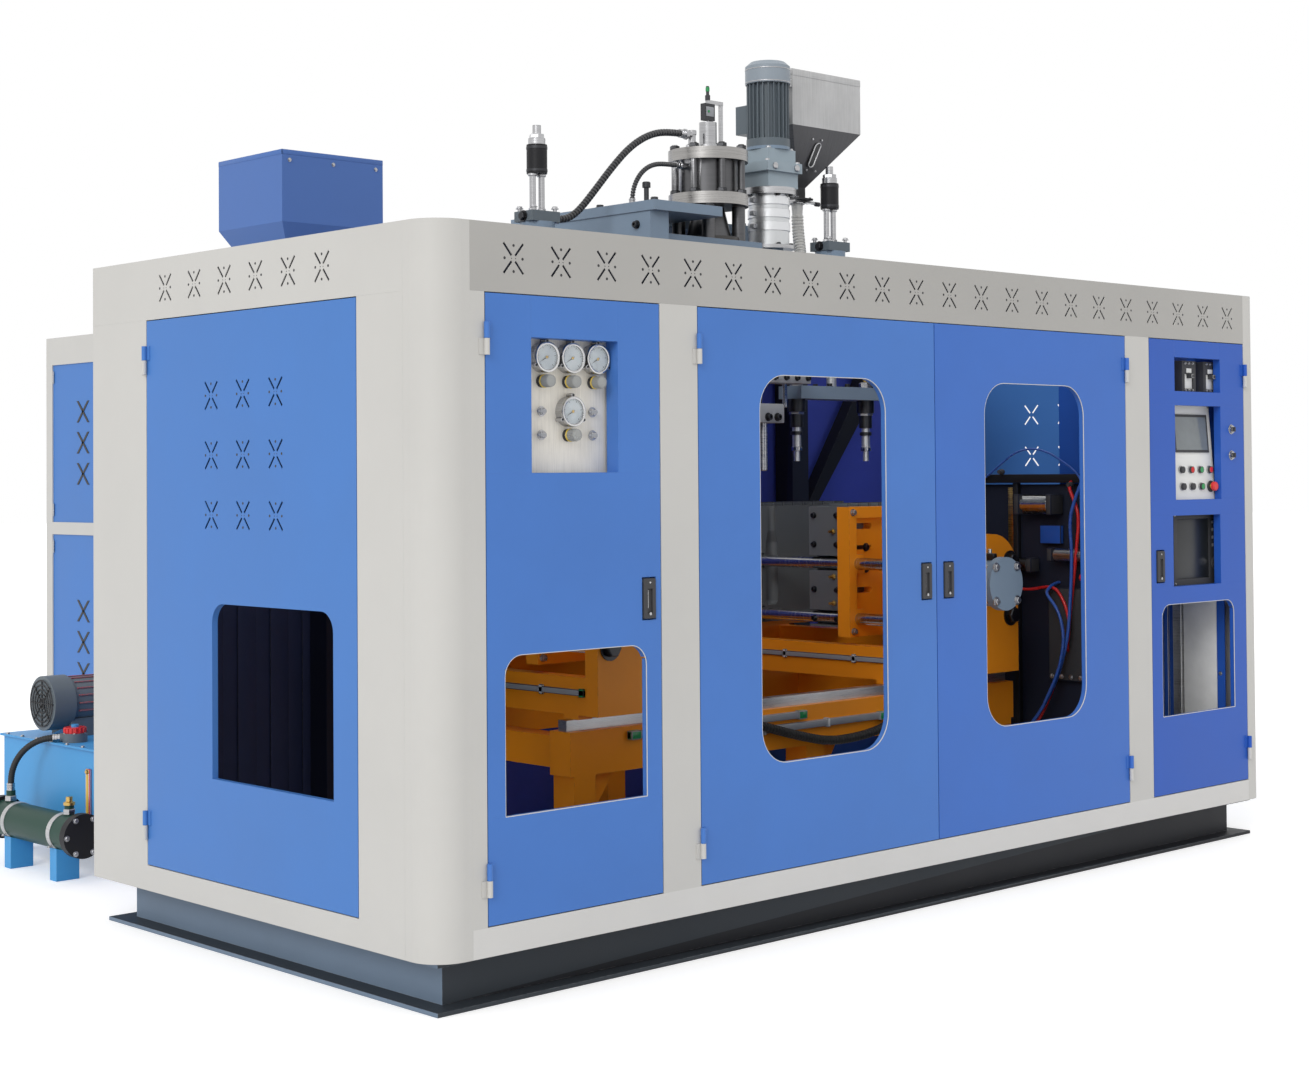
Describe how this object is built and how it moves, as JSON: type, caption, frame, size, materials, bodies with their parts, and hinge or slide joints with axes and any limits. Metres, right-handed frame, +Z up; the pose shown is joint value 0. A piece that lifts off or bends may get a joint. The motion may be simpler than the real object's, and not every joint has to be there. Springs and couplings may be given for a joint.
{
  "type": "blow moulding machine",
  "caption": "Extrusion blow moulding machine: panelled enclosure with doors over mould carriages, blow pins, a die head, extruders with hoppers and a hydraulic unit.",
  "frame": {"origin": "middle of the enclosure's plan, on the floor, under the base's middle cross beam", "axes": "+X to the right along the front, +Y to the rear along the extruder barrel, +Z up"},
  "size_m": [4.163, 5.162, 3.039],
  "materials": {
    "panel_grey": "warm light grey powder coat, satin",
    "door_blue": "mid blue powder coat, satin",
    "base_blue_grey": "blue grey enamel",
    "bed_orange": "orange enamel, satin",
    "bright_steel": "ground and hard chromed steel",
    "turned_steel": "turned steel",
    "stainless": "brushed stainless sheet",
    "mould_steel": "dark machined mould steel",
    "head_steel": "dark heat-tinted steel",
    "aluminium": "machined aluminium",
    "motor_blue_grey": "grey enamel on cast fins",
    "tank_blue": "light blue enamel",
    "cooler_green": "dark green enamel",
    "hopper_blue": "blue enamel",
    "rubber_black": "matt black rubber hose",
    "ribbed_plastic": "pale ribbed plastic hose",
    "black_plastic": "matt black moulding",
    "white_sheet": "white enamel sheet",
    "gauge_face": "white dial under a clear cover in a black case",
    "operator_grey": "light grey moulding",
    "device_grey": "dark grey moulding",
    "button_plastic": "coloured push buttons",
    "stop_red": "red moulding",
    "sensor_grey": "grey sensor body with a green tip"
  },
  "bodies": {
    "machine": {"base_frame": "base_blue_grey", "front_frame": "panel_grey", "left_side_frame": "panel_grey", "right_side_frame": "panel_grey", "vented_headers": "panel_grey", "rear_wall": "panel_grey", "hinge_knuckles": "panel_grey", "gauge_panel": "white_sheet", "pressure_gauges": "gauge_face", "control_cabinet": "door_blue", "control_devices": "device_grey", "operator_panel": "operator_grey", "panel_buttons": "button_plastic", "machine_frame": "base_blue_grey", "slide_bed": "bed_orange", "head_beams": "base_blue_grey", "pin_cylinders": "aluminium", "die_head": "head_steel", "position_sensor": "sensor_grey", "colour_extruder": "turned_steel", "colour_motor": "motor_blue_grey", "colour_hopper": "stainless", "ribbed_hose": "ribbed_plastic", "head_hose_long": "rubber_black", "head_hose_short": "rubber_black", "tank_hose": "rubber_black", "main_extruder": "stainless", "main_hopper": "hopper_blue", "rear_cabinet": "panel_grey", "oil_tank": "tank_blue", "oil_cooler": "cooler_green"},
    "gauge_door": {"door_gauge": "door_blue"},
    "gauge_handle": {"handle_gauge": "black_plastic"},
    "left_door": {"door_left": "door_blue"},
    "left_handle": {"handle_left": "black_plastic"},
    "right_door": {"door_right": "door_blue"},
    "right_handle": {"handle_right": "black_plastic"},
    "control_door": {"door_control": "door_blue"},
    "control_handle": {"handle_control": "black_plastic"},
    "lower_key": {"key_switch_lower": "bright_steel"},
    "upper_key": {"key_switch_upper": "bright_steel"},
    "left_side_door": {"door_side_left": "door_blue"},
    "right_side_door": {"door_side_right": "door_blue"},
    "dial": {"screen_dial": "bright_steel"},
    "stop_button": {"emergency_stop": "stop_red"},
    "left_carriage": {"carriage_left": "bed_orange", "tie_bars_left": "bright_steel"},
    "right_carriage": {"carriage_right": "bed_orange", "tie_bars_right": "bright_steel"},
    "left_front_clamp": {"front_platen_left": "bed_orange", "front_mould_left": "mould_steel"},
    "left_rear_clamp": {"rear_platen_left": "bed_orange", "rear_mould_left": "mould_steel"},
    "right_front_clamp": {"front_platen_right": "bed_orange", "front_mould_right": "mould_steel"},
    "right_rear_clamp": {"rear_platen_right": "bed_orange", "rear_mould_right": "mould_steel"},
    "left_pins": {"blow_pins_left": "turned_steel"},
    "right_pins": {"blow_pins_right": "turned_steel"},
    "gate": {"hopper_gate": "stainless"}
  },
  "joints": [
    {"name": "gauge_door_hinge", "type": "hinge", "parent": "machine", "child": "gauge_door", "pos_m": [-1.8835, -0.9285, 1.088], "axis": [0, 0, 1], "range_deg": [-110, 0]},
    {"name": "left_door_hinge", "type": "hinge", "parent": "machine", "child": "left_door", "pos_m": [-1.0725, -0.9285, 1.088], "axis": [0, 0, 1], "range_deg": [-110, 0]},
    {"name": "right_door_hinge", "type": "hinge", "parent": "machine", "child": "right_door", "pos_m": [1.1485, -0.9285, 1.088], "axis": [0, 0, 1], "range_deg": [0, 110]},
    {"name": "control_door_hinge", "type": "hinge", "parent": "machine", "child": "control_door", "pos_m": [1.9645, -0.9285, 1.088], "axis": [0, 0, 1], "range_deg": [0, 110]},
    {"name": "left_side_door_hinge", "type": "hinge", "parent": "machine", "child": "left_side_door", "pos_m": [-2.0735, 0.5735, 1.088], "axis": [0, 0, 1], "range_deg": [-110, 0]},
    {"name": "right_side_door_hinge", "type": "hinge", "parent": "machine", "child": "right_side_door", "pos_m": [2.0735, 0.5735, 1.088], "axis": [0, 0, 1], "range_deg": [0, 110]},
    {"name": "gauge_handle_pivot", "type": "hinge", "parent": "gauge_door", "child": "gauge_handle", "pos_m": [-1.2785, -0.918, 1.1385], "axis": [-1, 0, 0], "range_deg": [0, 35]},
    {"name": "left_handle_pivot", "type": "hinge", "parent": "left_door", "child": "left_handle", "pos_m": [-0.0145, -0.918, 1.1385], "axis": [-1, 0, 0], "range_deg": [0, 35]},
    {"name": "right_handle_pivot", "type": "hinge", "parent": "right_door", "child": "right_handle", "pos_m": [0.1015, -0.918, 1.1385], "axis": [-1, 0, 0], "range_deg": [0, 35]},
    {"name": "control_handle_pivot", "type": "hinge", "parent": "control_door", "child": "control_handle", "pos_m": [1.3655, -0.918, 1.1385], "axis": [-1, 0, 0], "range_deg": [0, 35]},
    {"name": "lower_key_turn", "type": "hinge", "parent": "control_door", "child": "lower_key", "pos_m": [1.87, -0.928, 1.509], "axis": [0, 1, 0], "range_deg": [0, 90]},
    {"name": "upper_key_turn", "type": "hinge", "parent": "control_door", "child": "upper_key", "pos_m": [1.87, -0.928, 1.611], "axis": [0, 1, 0], "range_deg": [0, 90]},
    {"name": "screen_dial_turn", "type": "hinge", "parent": "machine", "child": "dial", "pos_m": [1.82, -0.87, 1.085], "axis": [0, 1, 0], "range_deg": [-150, 150]},
    {"name": "emergency_stop_push", "type": "slide", "parent": "machine", "child": "stop_button", "axis": [0, 1, 0], "range_m": [0, 0.006]},
    {"name": "left_carriage_travel", "type": "slide", "parent": "machine", "child": "left_carriage", "axis": [1, 0, 0], "range_m": [0, 0.838]},
    {"name": "right_carriage_travel", "type": "slide", "parent": "machine", "child": "right_carriage", "axis": [1, 0, 0], "range_m": [-0.677, 0]},
    {"name": "left_clamp_front", "type": "slide", "parent": "left_carriage", "child": "left_front_clamp", "axis": [0, 1, 0], "range_m": [0, 0.1398]},
    {"name": "left_clamp_rear", "type": "slide", "parent": "left_carriage", "child": "left_rear_clamp", "axis": [0, 1, 0], "range_m": [-0.1398, 0]},
    {"name": "right_clamp_front", "type": "slide", "parent": "right_carriage", "child": "right_front_clamp", "axis": [0, 1, 0], "range_m": [0, 0.1398]},
    {"name": "right_clamp_rear", "type": "slide", "parent": "right_carriage", "child": "right_rear_clamp", "axis": [0, 1, 0], "range_m": [-0.1398, 0]},
    {"name": "left_pins_stroke", "type": "slide", "parent": "machine", "child": "left_pins", "axis": [0, 0, -1], "range_m": [0, 0.26]},
    {"name": "right_pins_stroke", "type": "slide", "parent": "machine", "child": "right_pins", "axis": [0, 0, -1], "range_m": [0, 0.26]},
    {"name": "hopper_gate_pull", "type": "slide", "parent": "machine", "child": "gate", "axis": [1, 0, 0], "range_m": [0, 0.06]}
  ],
  "couplings": [
    {"joint": "left_clamp_rear", "follows": "left_clamp_front", "ratio": -1},
    {"joint": "right_clamp_rear", "follows": "right_clamp_front", "ratio": -1}
  ]
}
